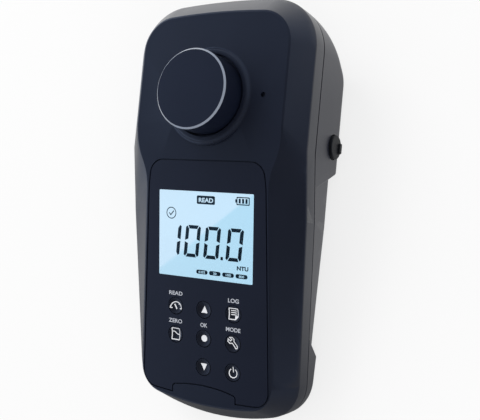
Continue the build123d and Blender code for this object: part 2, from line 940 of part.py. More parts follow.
with BuildPart() as lcd_frame:
    with BuildSketch(on_face(face_wall)):
        with Locations((0, lcd_u)):
            RectangleRounded(
                lcd_size[0] + 2 * (lcd_clearance + frame_wall),
                lcd_size[1] + 2 * (lcd_clearance + frame_wall),
                frame_wall,
            )
            Rectangle(lcd_size[0] + 2 * lcd_clearance, lcd_size[1] + 2 * lcd_clearance, mode=Mode.SUBTRACT)
    extrude(amount=face_wall - board_level)
    with BuildSketch(on_face(panel_pocket + lcd_thick + backlight_thick)):
        with Locations((0, lcd_u)):
            Rectangle(lcd_size[0] + 3 * lcd_clearance, lcd_size[1] + 3 * lcd_clearance)
            Rectangle(lcd_size[0] - 2 * frame_lip, lcd_size[1] - 2 * frame_lip, mode=Mode.SUBTRACT)
    extrude(amount=panel_pocket + lcd_thick + backlight_thick - board_level)
finish(lcd_frame.part, "lcd_frame")

# Keys, their rubber mat and domes, and the main board
for name, spot in key_spots.items():
    finish(make_key(*spot), name)

with BuildPart() as key_mat:
    with BuildSketch(on_face(mat_level)):
        with Locations((0, key_rows_u[1])):
            RectangleRounded(*mat_size, 2.5)
    extrude(amount=-mat_thick)
finish(key_mat.part, "key_mat")

with BuildPart() as key_domes:
    with BuildSketch(on_face(board_level)):
        with Locations(*key_spots.values()):
            Circle(dome_r)
    extrude(amount=dome_thick, taper=30)
finish(key_domes.part, "key_domes")

with BuildPart() as main_board:
    with BuildSketch(on_face(board_level)):
        with Locations((0, (board_top_u + board_tail_u) / 2)):
            RectangleRounded(2 * board_half, board_top_u - board_tail_u, 3)
        with Locations(*board_screw_spots):
            Circle(board_screw_r + 0.2, mode=Mode.SUBTRACT)
    extrude(amount=-board_thick)
    with BuildSketch(on_face(board_level + board_thick)):
        with Locations((0, board_link_u)):
            Rectangle(12, 5)
        with Locations((-8, -46)):
            Rectangle(13, 13)
        with Locations((12, -52)):
            Rectangle(7, 9)
        with Locations((-4, -82)):
            Rectangle(9, 7)
        with Locations((14, -84)):
            Circle(3.5)
    extrude(amount=-chip_height)
finish(main_board.part, "main_board")

with BuildPart() as board_screws:
    for x, u in board_screw_spots:
        add(make_board_screw(x, u))
finish(board_screws.part, "board_screws")

# Sample well with its seal, lamp and two detectors
with BuildPart() as sample_well:
    with Locations((0, well_y, well_base_z)):
        Cylinder(well_r, well_rim_z - well_base_z, align=base_up)
    chamfer(sample_well.edges().filter_by(GeomType.CIRCLE).sort_by(Axis.Z)[0], length=well_base - 0.2)
    with Locations((0, well_y, head_z - face_wall - seal_thick - well_flange)):
        Cylinder(well_flange_r, well_flange, align=base_up)
    for way in (lamp_way, across_way, behind_way):
        add(disc_on(way, 0, port_r + socket_wall, socket_end))
    with Locations((0, well_y, well_floor_z)):
        Cylinder(cell_r, well_rim_z, align=base_up, mode=Mode.SUBTRACT)
    for way in (lamp_way, across_way, behind_way):
        add(disc_on(way, 0, port_r, socket_end), mode=Mode.SUBTRACT)
    mouth = sample_well.edges().filter_by(GeomType.CIRCLE).group_by(Axis.Z)[-1].sort_by(SortBy.RADIUS)[0]
    chamfer(mouth, length=well_lead_in)
finish(sample_well.part, "sample_well")

with BuildPart() as well_seal:
    with Locations((0, well_y, head_z - face_wall - seal_thick)):
        Cylinder(well_flange_r - 0.2, seal_thick, align=base_up)
        Cylinder(well_r + cap_seal_clearance, seal_thick, align=base_up, mode=Mode.SUBTRACT)
finish(well_seal.part, "well_seal")

finish(make_can(lamp_way, well_r - 1, True), "lamp")
finish(make_can(across_way, well_r - 0.6, False), "scatter_detector")
finish(make_can(behind_way, well_r - 0.6, False), "transmission_detector")
finish(make_board(lamp_way), "lamp_board")
finish(make_board(across_way), "scatter_board")
finish(make_board(behind_way), "transmission_board")

with BuildPart() as flex_cable:
    link = display_plane.from_local_coords(Vector(0, board_link_u, -board_level - board_thick - chip_height))
    end_y = well_y - socket_end - can_flange_thick - optic_board_thick
    with BuildSketch(Plane.YZ):
        with BuildLine():
            Spline(
                (link.Y, link.Z - flex_thick / 2),
                (link.Y + 4, link.Z - 6),
                (end_y, port_z + 4),
                tangents=((0, -1), (1, 0)),
            )
        trace(line_width=flex_thick)
    extrude(amount=flex_half, both=True)
finish(flex_cable.part, "flex_cable")

# Light shield cap with its seal
with BuildPart() as light_shield_cap:
    with BuildSketch(well_side):
        with BuildLine():
            low = head_z + cap_seat
            top = head_z + cap_rise
            Polyline(
                (0, top - cap_top),
                (0, top),
                (cap_r - cap_chamfer, top),
                (cap_r, top - cap_chamfer),
                (cap_r, low),
                (cap_r - cap_wall, low),
                (cap_r - cap_wall, top - cap_top),
                close=True,
            )
        make_face()
    revolve(axis=well_axis)
finish(light_shield_cap.part, "light_shield_cap")

with BuildPart() as cap_seal:
    with Locations((0, well_y, head_z + cap_seat + cap_seal_up)):
        Cylinder(cap_r - cap_wall, cap_seal_height, align=base_up)
        Cylinder(well_r + cap_seal_clearance, cap_seal_height, align=base_up, mode=Mode.SUBTRACT)
finish(cap_seal.part, "cap_seal")

# Port socket and its rubber plug
with BuildPart() as io_socket:
    with Locations((socket_x, port_y, plug_z)):
        Box(socket_depth, 2 * socket_half, 2 * socket_half)
    with BuildSketch(Plane((socket_x + socket_depth / 2, port_y, plug_z), z_dir=(1, 0, 0))):
        Circle(plug_stem_r + plug_stem_clearance)
    extrude(amount=-socket_depth * 0.8, mode=Mode.SUBTRACT)
    with BuildSketch(Plane((socket_x - socket_depth / 2, port_y, plug_z), z_dir=(1, 0, 0))):
        Circle(0.8)
    extrude(amount=socket_depth * 0.7)
finish(io_socket.part, "io_socket")

with BuildPart() as port_plug:
    with BuildSketch(Plane((wall_x - plug_sink + 0.05, port_y, plug_z), z_dir=(1, 0, 0))):
        Circle(plug_r)
    extrude(amount=plug_thick)
    fillet(port_plug.edges().sort_by(Axis.X)[-1], radius=0.5)
    with BuildSketch(Plane((wall_x - plug_sink + 0.05, port_y, plug_z), z_dir=(1, 0, 0))):
        Circle(plug_stem_r)
    extrude(amount=-plug_stem)
    with Locations((wall_x - plug_sink + plug_thick - 0.3, port_y - 0.3, plug_z - plug_r / 2)):
        Box(pull_tab[0], pull_tab[1], pull_tab[2], align=(Align.MIN, Align.CENTER, Align.CENTER))
    tab_edges = port_plug.edges().filter_by(Axis.X).sort_by(Axis.X)[-4:]
    fillet(tab_edges, radius=pull_tab[2] * 0.4)
finish(port_plug.part, "port_plug")

# Batteries, their contacts and the sliding door
battery_xs = [(i - (battery_count - 1) / 2) * (2 * battery_r + battery_gap) for i in range(battery_count)]

with BuildPart() as batteries:
    for i, x in enumerate(battery_xs):
        add(make_battery(x, 1 if i % 2 else -1))
finish(batteries.part, "batteries")

with BuildPart() as battery_contacts:
    cell_tail = battery_head_y - battery_length
    for x in battery_xs:
        add(make_leaf(x, battery_head_y + contact_space, battery_head_y + 0.02))
        add(make_leaf(x, cell_tail - contact_space, cell_tail - 0.02))
finish(battery_contacts.part, "battery_contacts")

with BuildPart() as battery_door:
    with BuildSketch(Plane.XY.offset(grip_back_z)):
        with Locations((0, door_head_y - door_length / 2)):
            RectangleRounded(2 * door_half, door_length, door_corner)
    extrude(amount=door_thick)
    for y in tongue_ys:
        with Locations((0, y + tongue_length / 2, grip_back_z + tongue_z)):
            Box(2 * (door_half + rail_reach), tongue_length, rail_height, align=base_up)
    for i in range(rib_count):
        with Locations((0, door_head_y - door_length + 6 + i * 2.4, grip_back_z - rib_rise)):
            Box(rib_length, 1.2, rib_rise + door_thick / 2, align=base_up)
finish(battery_door.part, "battery_door")
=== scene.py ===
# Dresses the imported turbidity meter: moulded housings, printed panel, lit display, printed keys, screws.
import json
import math

import bmesh
import bpy
from mathutils import Matrix, Vector

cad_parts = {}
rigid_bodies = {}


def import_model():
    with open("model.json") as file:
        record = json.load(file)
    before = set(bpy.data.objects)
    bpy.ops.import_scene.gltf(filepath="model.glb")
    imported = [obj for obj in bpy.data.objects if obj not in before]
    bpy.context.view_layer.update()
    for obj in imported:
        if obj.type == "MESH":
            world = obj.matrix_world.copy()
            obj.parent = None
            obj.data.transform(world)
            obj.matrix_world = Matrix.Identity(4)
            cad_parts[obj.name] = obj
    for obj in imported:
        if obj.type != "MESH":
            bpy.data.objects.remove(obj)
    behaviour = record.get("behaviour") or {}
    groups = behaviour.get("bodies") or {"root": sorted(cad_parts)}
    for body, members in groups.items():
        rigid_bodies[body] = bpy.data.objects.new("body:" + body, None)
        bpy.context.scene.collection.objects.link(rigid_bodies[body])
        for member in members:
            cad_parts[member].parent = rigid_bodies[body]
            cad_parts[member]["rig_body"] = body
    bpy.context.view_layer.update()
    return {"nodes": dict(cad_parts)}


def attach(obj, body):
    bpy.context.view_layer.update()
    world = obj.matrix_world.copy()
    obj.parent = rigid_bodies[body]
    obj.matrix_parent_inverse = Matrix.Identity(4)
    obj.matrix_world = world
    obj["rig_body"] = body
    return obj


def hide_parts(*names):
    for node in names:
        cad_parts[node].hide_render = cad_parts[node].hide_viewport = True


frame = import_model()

MM = 0.001
BODY = "meter_body"

# Sizes taken over from the part's source, in millimetres and degrees. A level is a depth under the face.
FACE_SLOPE = 9.1
CREASE = (0.0, 36.0, 47.0)
PANEL_LEVEL = 0.05
LCD_TOP_LEVEL = 0.8
KEY_TOP_LEVEL = 0.05
KEY_DISH = 0.8
KEY_DISH_RADIUS = 3.4
KEY_PITCH = 15.0
KEY_ROWS = (-81.0, -93.9, -106.7)
KEY_SPOTS = {
    "key_measure": (-KEY_PITCH, KEY_ROWS[0]),
    "key_up": (0.0, KEY_ROWS[0]),
    "key_log": (KEY_PITCH, KEY_ROWS[0]),
    "key_calibrate": (-KEY_PITCH, KEY_ROWS[1]),
    "key_enter": (0.0, KEY_ROWS[1]),
    "key_setup": (KEY_PITCH, KEY_ROWS[1]),
    "key_down": (0.0, KEY_ROWS[2]),
    "key_power": (KEY_PITCH, KEY_ROWS[2]),
}

# How far a print lies over what it is printed on, and the levels of the display's prints over its glass
INK_RISE = 0.02
LCD_INK_LEVEL = LCD_TOP_LEVEL - 0.01
LCD_NUMBER_LEVEL = LCD_INK_LEVEL - 0.02

# Merging distance for a print in millimetres, and the cuts along an edge that let it follow a key's dish
PRINT_MERGE = 1e-4
KEY_CUTS = 2

# A face of the cap is its chamfer's, which gets the painted highlight, down to this depth in millimetres,
# with its normal's rise in this range
RIM_DEPTH = 0.8
RIM_SLANTS = (0.3, 0.95)

# Merging distances for CAD meshes in metres, and the angle in degrees past which an edge stays crisp
CAD_MERGE = 2e-6
CAD_ZERO_EDGE = 1e-6
CRISP_ANGLE = 16.0

# The face's own axes: x across, u along it towards the head, h above it
slope = math.radians(FACE_SLOPE)
FACE_PLACE = Matrix(
    (
        (1, 0, 0, CREASE[0]),
        (0, math.cos(slope), -math.sin(slope), CREASE[1]),
        (0, math.sin(slope), math.cos(slope), CREASE[2]),
        (0, 0, 0, 1),
    )
)


# Materials


def linear(code):
    """An sRGB hex code as linear red, green, blue and alpha."""
    channels = [int(code[i : i + 2], 16) / 255 for i in (1, 3, 5)]
    return tuple(c / 12.92 if c <= 0.04045 else ((c + 0.055) / 1.055) ** 2.4 for c in channels) + (1.0,)


def add_node(tree, kind, links=None, inputs=None, **settings):
    """Adds a node with its settings, its input values and its links from other nodes' outputs."""
    made = tree.nodes.new(kind)
    for key, value in settings.items():
        setattr(made, key, value)
    for key, value in (inputs or {}).items():
        made.inputs[key].default_value = value
    for key, source in (links or {}).items():
        tree.links.new(source, made.inputs[key])
    return made


def start_material(name):
    """A new material, with its node tree, its shader and a node that gives the piece's own coordinates."""
    material = bpy.data.materials.new(name)
    material.use_nodes = True
    tree = material.node_tree
    return material, tree, tree.nodes["Principled BSDF"], add_node(tree, "ShaderNodeTexCoord")


# Cloudy patches of about 17 mm, and how far the grain spreads the gloss and stands out
MOTTLE_PER_METRE = 60.0
GLOSS_SPREAD = 0.05
GRAIN_STRENGTH = 0.35


def moulded(name, colour, roughness, grain_mm, grain_height, specular=0.5, mottle=0.12):
    """A moulded plastic or rubber: even colour with a slight mottle, and a fine surface grain."""
    material, tree, shader, place = start_material(name)
    shader.inputs["Specular IOR Level"].default_value = specular
    cloud = add_node(
        tree,
        "ShaderNodeTexNoise",
        {"Vector": place.outputs["Object"]},
        {"Scale": MOTTLE_PER_METRE, "Detail": 3.0},
    )
    dark = tuple(c * (1 - mottle) for c in linear(colour)[:3]) + (1.0,)
    light = tuple(min(1, c * (1 + mottle)) for c in linear(colour)[:3]) + (1.0,)
    tone = add_node(tree, "ShaderNodeMix", {0: cloud.outputs["Fac"]}, {6: dark, 7: light}, data_type="RGBA")
    tree.links.new(tone.outputs[2], shader.inputs["Base Color"])
    grain = add_node(
        tree,
        "ShaderNodeTexNoise",
        {"Vector": place.outputs["Object"]},
        {"Scale": 1 / (grain_mm * MM), "Detail": 2.0},
    )
    spread = add_node(
        tree,
        "ShaderNodeMapRange",
        {"Value": grain.outputs["Fac"]},
        {"To Min": roughness - GLOSS_SPREAD, "To Max": roughness + GLOSS_SPREAD},
    )
    tree.links.new(spread.outputs["Result"], shader.inputs["Roughness"])
    bump = add_node(
        tree,
        "ShaderNodeBump",
        {"Height": grain.outputs["Fac"]},
        {"Strength": GRAIN_STRENGTH, "Distance": grain_height * MM},
    )
    tree.links.new(bump.outputs["Normal"], shader.inputs["Normal"])
    return material


# Shares by which a metal's colour darkens and its roughness strays along its grain
METAL_DULL = 0.85
METAL_STRAY = 0.2


def metal(name, colour, roughness, scratch_mm):
    """A plated or drawn metal with a fine grain that spreads its gloss."""
    material, tree, shader, place = start_material(name)
    shader.inputs["Metallic"].default_value = 1.0
    grain = add_node(
        tree,
        "ShaderNodeTexNoise",
        {"Vector": place.outputs["Object"]},
        {"Scale": 1 / (scratch_mm * MM), "Detail": 4.0},
    )
    base = linear(colour)
    dull = tuple(c * METAL_DULL for c in base[:3]) + (1.0,)
    tone = add_node(tree, "ShaderNodeMix", {0: grain.outputs["Fac"]}, {6: dull, 7: base}, data_type="RGBA")
    tree.links.new(tone.outputs[2], shader.inputs["Base Color"])
    spread = add_node(
        tree,
        "ShaderNodeMapRange",
        {"Value": grain.outputs["Fac"]},
        {"To Min": roughness * (1 - METAL_STRAY), "To Max": roughness * (1 + METAL_STRAY)},
    )
    tree.links.new(spread.outputs["Result"], shader.inputs["Roughness"])
    return material


ACRYLIC_IOR = 1.49
HAZE_MM = 2.5
HAZE_MOST = 0.04


def clear_acrylic():
    """Clear acrylic: the lit glass under it shows through, with a soft reflection on top."""
    material, tree, shader, place = start_material("clear acrylic window")
    shader.inputs["Base Color"].default_value = (1, 1, 1, 1)
    shader.inputs["Transmission Weight"].default_value = 1.0
    shader.inputs["IOR"].default_value = ACRYLIC_IOR
    haze = add_node(
        tree, "ShaderNodeTexNoise", {"Vector": place.outputs["Object"]}, {"Scale": 1 / (HAZE_MM * MM)}
    )
    spread = add_node(
        tree, "ShaderNodeMapRange", {"Value": haze.outputs["Fac"]}, {"To Min": 0.0, "To Max": HAZE_MOST}
    )
    tree.links.new(spread.outputs["Result"], shader.inputs["Roughness"])
    return material


# Place, rise and half width of the line under the display's painted sheen, and half the glass's width
SHEEN_U = -46.6
SHEEN_RISE = 0.73
SHEEN_BLUR = 0.6
GLASS_HALF = 24.0


def lit_lcd():
    """Backlit liquid crystal glass: pale blue, with a painted sheen that makes it lighter above a diagonal
    line, bluer to the right.
    """
    material, tree, shader, place = start_material("backlit liquid crystal glass")
    shader.inputs["Roughness"].default_value = 0.3
    shader.inputs["Base Color"].default_value = linear("#1d2a33")
    axes = add_node(tree, "ShaderNodeSeparateXYZ", {"Vector": place.outputs["Object"]})
    # the line runs from low on the left to high on the right
    lean = add_node(
        tree,
        "ShaderNodeMath",
        {0: axes.outputs["X"]},
        {1: -SHEEN_RISE, 2: -(CREASE[1] + SHEEN_U * math.cos(slope)) * MM},
        operation="MULTIPLY_ADD",
    )
    side = add_node(
        tree, "ShaderNodeMath", {0: axes.outputs["Y"], 1: lean.outputs[0]}, operation="ADD"
    )
    ramp = add_node(
        tree,
        "ShaderNodeMapRange",
        {"Value": side.outputs[0]},
        {"From Min": -SHEEN_BLUR * MM, "From Max": SHEEN_BLUR * MM},
    )
    fade = add_node(
        tree,
        "ShaderNodeMapRange",
        {"Value": axes.outputs["X"]},
        {"From Min": -GLASS_HALF * MM, "From Max": GLASS_HALF * MM, "To Min": 0.0, "To Max": 1.0},
    )
    lower = add_node(
        tree,
        "ShaderNodeMix",
        {0: fade.outputs["Result"]},
        {6: linear("#bbe1f6"), 7: linear("#b5dff6")},
        data_type="RGBA",
    )
    # painted sheen: the lighter tones above the diagonal line
    upper = add_node(
        tree,
        "ShaderNodeMix",
        {0: fade.outputs["Result"]},
        {6: linear("#cde9fc"), 7: linear("#c9e8fd")},
        data_type="RGBA",
    )
    glow = add_node(
        tree,
        "ShaderNodeMix",
        {0: ramp.outputs["Result"], 6: lower.outputs[2], 7: upper.outputs[2]},
        data_type="RGBA",
    )
    tree.links.new(glow.outputs[2], shader.inputs["Emission Color"])
    shader.inputs["Emission Strength"].default_value = 1.0
    return material


# Real mould grain is about 0.1 mm, too fine for a render with about 0.4 mm to a pixel, so all grain is drawn
# at 0.25 to 0.8 mm.

# ABS from a spark-eroded mould: the light breaks up softly, and the colour stays nearly black
abs_front = moulded("moulded ABS, dark navy", "#131826", 0.38, 0.35, 0.008)
abs_rear = moulded("moulded ABS, charcoal", "#191c29", 0.42, 0.35, 0.010)
# ABS from a mould that is polished a little further: the cap has a clearer gloss than the housing
abs_cap = moulded("moulded ABS, cap", "#121726", 0.30, 0.30, 0.004)
# The chamfer round the cap's top: glossier than the cap, and painted paler as a highlight, so it draws a
# thin light line
painted_rim_highlight = moulded("polished cap rim", "#8b93a1", 0.25, 0.30, 0.001)
# Hard-coated polyester film: smoother than the housing, so it reads as a flat inlay
film = moulded("printed polyester film", "#121624", 0.36, 0.50, 0.003)
# Silicone with a soft-touch lacquer: dull, with no clear reflection
key_skin = moulded("soft-touch silicone keypad", "#11141f", 0.50, 0.30, 0.006, 0.4)
# EPDM rubber: dull and almost black
rubber = moulded("moulded EPDM rubber", "#101115", 0.62, 0.25, 0.010, 0.35)
# Carbon-filled polymer: swallows stray light in the optics
optics_black = moulded("carbon-filled black polymer", "#0d0d0f", 0.70, 0.30, 0.012, 0.3)
# Lacquered glass fibre board: smooth deep green with a clear gloss
solder_mask = moulded("green solder mask", "#14532d", 0.30, 0.60, 0.004)
# Polyimide film of the flat cable: glossy amber
amber_film = moulded("amber polyimide film", "#b36a1c", 0.25, 0.50, 0.002)
# Shrunk sleeve of the batteries: plain grey with the gloss of stretched film
wrap = moulded("battery shrink wrap", "#3c4148", 0.28, 0.80, 0.003)
# Cast epoxy of the lamp and of the detectors: as smooth as glass, pale or nearly black
resin = moulded("clear lamp resin", "#d5dbe2", 0.12, 0.80, 0.001)
tinted_resin = moulded("tinted detector resin", "#1b1a20", 0.15, 0.80, 0.001)
# White acrylic light guide behind the display: pale and smooth
light_guide = moulded("white light guide", "#e6edf2", 0.25, 0.80, 0.001)
# Screen-printed ink: flat and opaque, white on the keys and grey for the words
white_ink = moulded("screen-printed white ink", "#e4e6ea", 0.55, 0.40, 0.002, 0.3, 0.03)
label_ink = moulded("screen-printed grey ink", "#b9bdc6", 0.55, 0.40, 0.002, 0.3, 0.03)
# Switched liquid crystal: a flat dark blue that lets no backlight through
lcd_ink = moulded("switched display segment", "#12303f", 0.45, 0.40, 0.001, 0.3, 0.03)
# Zinc-plated steel of the screws: bright grey, a little matt
zinc_steel = metal("zinc-plated steel", "#b9bcc2", 0.32, 0.4)
# Nickel-plated spring strip of the contacts and domes: warmer and glossier than the screws
nickel_strip = metal("nickel-plated spring strip", "#cfccc2", 0.22, 0.3)
# Polished acrylic window over the lit glass of the display
window_glass = clear_acrylic()
lcd_glass = lit_lcd()

FINISH = {
    "front_housing": abs_front,
    "rear_housing": abs_rear,
    "housing_gasket": rubber,
    "front_overlay": film,
    "display_window": window_glass,
    "lcd_panel": lcd_glass,
    "backlight": light_guide,
    "lcd_frame": optics_black,
    "key_mat": key_skin,
    "key_domes": nickel_strip,
    "main_board": solder_mask,
    "board_screws": zinc_steel,
    "sample_well": optics_black,
    "well_seal": rubber,
    "lamp": resin,
    "scatter_detector": tinted_resin,
    "transmission_detector": tinted_resin,
    "lamp_board": solder_mask,
    "scatter_board": solder_mask,
    "transmission_board": solder_mask,
    "flex_cable": amber_film,
    "io_socket": optics_black,
    "batteries": wrap,
    "battery_contacts": nickel_strip,
    "housing_screws": zinc_steel,
    "light_shield_cap": abs_cap,
    "cap_seal": rubber,
    "port_plug": rubber,
    "battery_door": abs_rear,
}
FINISH.update({name: key_skin for name in KEY_SPOTS})


# Pieces


def place_mesh(name, mesh, material, body):
    """Links a finished mesh as a piece at the origin and lets it ride on its body."""
    piece = bpy.data.objects.new(name, mesh)
    bpy.context.scene.collection.objects.link(piece)
    mesh.materials.clear()
    mesh.materials.append(material)
    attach(piece, body)
    return piece


def dress(node):
    """A copy of a CAD node with merged points, smooth curves and crisp edges, standing for the node."""
    source = frame["nodes"][node]
    mesh = source.data.copy()
    work = bmesh.new()
    work.from_mesh(mesh)
    bmesh.ops.remove_doubles(work, verts=work.verts, dist=CAD_MERGE)
    bmesh.ops.dissolve_degenerate(work, edges=work.edges, dist=CAD_ZERO_EDGE)
    for face in work.faces:
        face.smooth = True
    for edge in work.edges:
        edge.smooth = edge.calc_face_angle(0.0) < math.radians(CRISP_ANGLE)
    work.to_mesh(mesh)
    work.free()
    piece = place_mesh(node + "_moulded", mesh, FINISH[node], source["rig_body"])
    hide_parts(node)
    return piece


def on_face(x, u, h):
    """A point on the display face's axes, in metres in the shared frame."""
    return (FACE_PLACE @ Vector((x, u, h))) * MM


def dish_height(x, u, centre):
    """How far the surface of a key lies under its top, at a point of its dish."""
    ball = (KEY_DISH_RADIUS**2 + KEY_DISH**2) / (2 * KEY_DISH)
    away = min(math.hypot(x - centre[0], u - centre[1]), KEY_DISH_RADIUS)
    return KEY_DISH - (ball - math.sqrt(ball**2 - away**2))


def print_on(name, loops, material, body, level, centre=None, cuts=0):
    """Flat printed shape from closed loops of (x, u) points, laid at a level or down into a key's dish."""
    curve = bpy.data.curves.new(name, "CURVE")
    curve.dimensions = "2D"
    curve.fill_mode = "BOTH"
    for loop in loops:
        spline = curve.splines.new("POLY")
        spline.points.add(len(loop) - 1)
        for point, (x, u) in zip(spline.points, loop):
            point.co = (x, u, 0, 1)
        spline.use_cyclic_u = True
    holder = bpy.data.objects.new(name, curve)
    bpy.context.scene.collection.objects.link(holder)
    print_mesh(name, holder, material, body, level, centre, cuts)


def print_mesh(name, holder, material, body, level, centre=None, cuts=0):
    """Turns a flat curve or text into a printed mesh on the display face."""
    bpy.context.view_layer.update()
    mesh = bpy.data.meshes.new_from_object(holder.evaluated_get(bpy.context.evaluated_depsgraph_get()))
    bpy.data.objects.remove(holder)
    work = bmesh.new()
    work.from_mesh(mesh)
    bmesh.ops.remove_doubles(work, verts=work.verts, dist=PRINT_MERGE)
    if cuts:
        bmesh.ops.triangulate(work, faces=work.faces)
        bmesh.ops.subdivide_edges(work, edges=work.edges, cuts=cuts, use_grid_fill=True)
    for vertex in work.verts:
        x, u = vertex.co.x, vertex.co.y
        drop = dish_height(x, u, centre) if centre else 0.0
        vertex.co = on_face(x, u, -level - drop + INK_RISE)
    up = FACE_PLACE.to_3x3() @ Vector((0, 0, 1))
    for face in work.faces:
        face.normal_update()
        if face.normal.dot(up) < 0:
            face.normal_flip()
    work.to_mesh(mesh)
    work.free()
    place_mesh(name, mesh, material, body)


def ring(x, u, radius, start=0.0, end=360.0, steps=48):
    """Points on a circle or arc, in degrees from the right, anticlockwise."""
    count = steps if end - start >= 360 else steps + 1
    return [
        (
            x + radius * math.cos(math.radians(start + (end - start) * i / steps)),
            u + radius * math.sin(math.radians(start + (end - start) * i / steps)),
        )
        for i in range(count)
    ]


# A line grows by at most this factor's inverse where it turns
SHARPEST_MITRE = 0.5


def side_step(before, after, width):
    """The step from a line's middle to its left edge, where it turns from one direction to the next."""
    way = (before + after).normalized()
    across = Vector((-way.y, way.x))
    reach = width / 2 / max(SHARPEST_MITRE, across.dot(Vector((-before.y, before.x))))
    return across.x * reach, across.y * reach


def stroke(points, width):
    """A line of an even width along points, as one closed loop with square ends."""
    left, right = [], []
    for i, (x, u) in enumerate(points):
        before = points[max(i - 1, 0)]
        after = points[min(i + 1, len(points) - 1)]
        d = Vector((x - before[0], u - before[1]))
        e = Vector((after[0] - x, after[1] - u))
        d = d.normalized() if d.length else e.normalized()
        e = e.normalized() if e.length else d
        step_x, step_u = side_step(d, e, width)
        left.append((x + step_x, u + step_u))
        right.append((x - step_x, u - step_u))
    return left + right[::-1]


def outline(points, width):
    """A closed line of an even width along the corners of a shape, as an outer and an inner loop."""
    outer, inner = [], []
    for i, (x, u) in enumerate(points):
        d = (Vector((x, u)) - Vector(points[i - 1])).normalized()
        e = (Vector(points[(i + 1) % len(points)]) - Vector((x, u))).normalized()
        step_x, step_u = side_step(d, e, width)
        outer.append((x - step_x, u - step_u))
        inner.append((x + step_x, u + step_u))
    return [outer, inner]


def pill(x, u, width, height, radius, steps=6):
    """A rectangle with round corners about a point."""
    loop = []
    for sx, su, start in ((1, 1, 0), (-1, 1, 90), (-1, -1, 180), (1, -1, 270)):
        loop += ring(
            x + sx * (width / 2 - radius), u + su * (height / 2 - radius), radius, start, start + 90, steps
        )
    return loop


# Size of a text over the height of its capitals, in Blender's own font
SIZE_OF_CAPITAL = 1.37


def lettering(name, words, x, u, height, material, level, width, weight=0.025):
    """Generic words in plain capitals, drawn to a width and centred on a point of the display face."""
    text = bpy.data.curves.new(name, "FONT")
    text.body = words
    text.size = height * SIZE_OF_CAPITAL
    text.align_x = "CENTER"
    text.offset = weight * height
    holder = bpy.data.objects.new(name, text)
    bpy.context.scene.collection.objects.link(holder)
    bpy.context.view_layer.update()
    holder.scale = (width / holder.dimensions.x, 1, 1)
    mesh = bpy.data.meshes.new_from_object(holder.evaluated_get(bpy.context.evaluated_depsgraph_get()))
    mesh.transform(Matrix.Translation((x, u - height / 2, 0)) @ Matrix.Diagonal((*holder.scale, 1)))
    bpy.data.objects.remove(holder)
    flat = bpy.data.objects.new(name, mesh)
    bpy.context.scene.collection.objects.link(flat)
    print_mesh(name, flat, material, BODY, level)


# Every CAD node gets its finish, and the ones that show get smooth shading too
for node, material in FINISH.items():
    mesh = frame["nodes"][node].data
    mesh.materials.clear()
    mesh.materials.append(material)
SEEN = [
    "front_housing",
    "rear_housing",
    "housing_gasket",
    "front_overlay",
    "light_shield_cap",
    "cap_seal",
    "port_plug",
    "battery_door",
    "sample_well",
    "batteries",
    *KEY_SPOTS,
]
dressed = {node: dress(node) for node in SEEN}

# The chamfer round the cap's top takes the paler colour of the painted highlight
cap_mesh = dressed["light_shield_cap"].data
cap_mesh.materials.append(painted_rim_highlight)
cap_top = max(vertex.co.z for vertex in cap_mesh.vertices)
for face in cap_mesh.polygons:
    if face.center.z > cap_top - RIM_DEPTH * MM and RIM_SLANTS[0] < face.normal.z < RIM_SLANTS[1]:
        face.material_index = 1

# Function words over the keys
WORD_HEIGHT = 1.8
WORD_PITCH = 1.8
WORD_ROWS = (-75.2, -87.8)
KEY_WORDS = (
    ("READ", -KEY_PITCH, WORD_ROWS[0]),
    ("LOG", KEY_PITCH, WORD_ROWS[0]),
    ("ZERO", -KEY_PITCH, WORD_ROWS[1]),
    ("OK", 0.0, WORD_ROWS[1]),
    ("MODE", KEY_PITCH, WORD_ROWS[1]),
)
for word, x, u in KEY_WORDS:
    width = WORD_PITCH * len(word)
    lettering("word_" + word.lower(), word, x, u, WORD_HEIGHT, label_ink, PANEL_LEVEL, width)


def key_print(key, loops):
    """Prints white shapes, drawn about the key's own centre, into its dish."""
    cx, cu = KEY_SPOTS[key]
    moved = [[(cx + x, cu + u) for x, u in loop] for loop in loops]
    body = frame["nodes"][key]["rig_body"]
    print_on(key + "_print", moved, white_ink, body, KEY_TOP_LEVEL, (cx, cu), KEY_CUTS)


# Key signs are drawn in millimetres about the key's centre
ICON_LINE = 0.4


def gauge_loops():
    """A dial arc with end ticks, a scale tick and a pointer."""
    hub_u = -1.35
    outer = 2.75
    loops = [stroke(ring(0, hub_u, 3.0, 0, 180, 24), 0.45)]
    loops.append(stroke([(-1.1, 0.6), (0.25, -1.6)], 0.6))
    for angle, inner in ((4, 2.0), (55, 2.2), (176, 2.0)):
        c, s = math.cos(math.radians(angle)), math.sin(math.radians(angle))
        loops.append(stroke([(inner * c, hub_u + inner * s), (outer * c, hub_u + outer * s)], ICON_LINE))
    return loops


def page_loops():
    """A sheet with three lines and a folded lower corner."""
    outer = [(-2.4, 2.6), (2.4, 2.6), (2.4, -1.1), (1.0, -2.6), (-2.4, -2.6)]
    inner = [(-2.0, 2.2), (2.0, 2.2), (2.0, -0.8), (0.65, -0.8), (0.65, -2.2), (-2.0, -2.2)]
    lines = [stroke([(-1.4, u), (1.4, u)], 0.38) for u in (1.4, 0.5, -0.4)]
    return [outer, inner] + lines


def vial_loops():
    """A sample vial with its liquid line."""
    return [
        pill(0, 0, 4.5, 5.5, 0.5),
        pill(0, 0, 3.7, 4.7, 0.2),
        stroke([(-1.8, 1.0), (-0.8, 0.9), (0.5, -0.1), (1.8, -0.3)], 0.42),
    ]


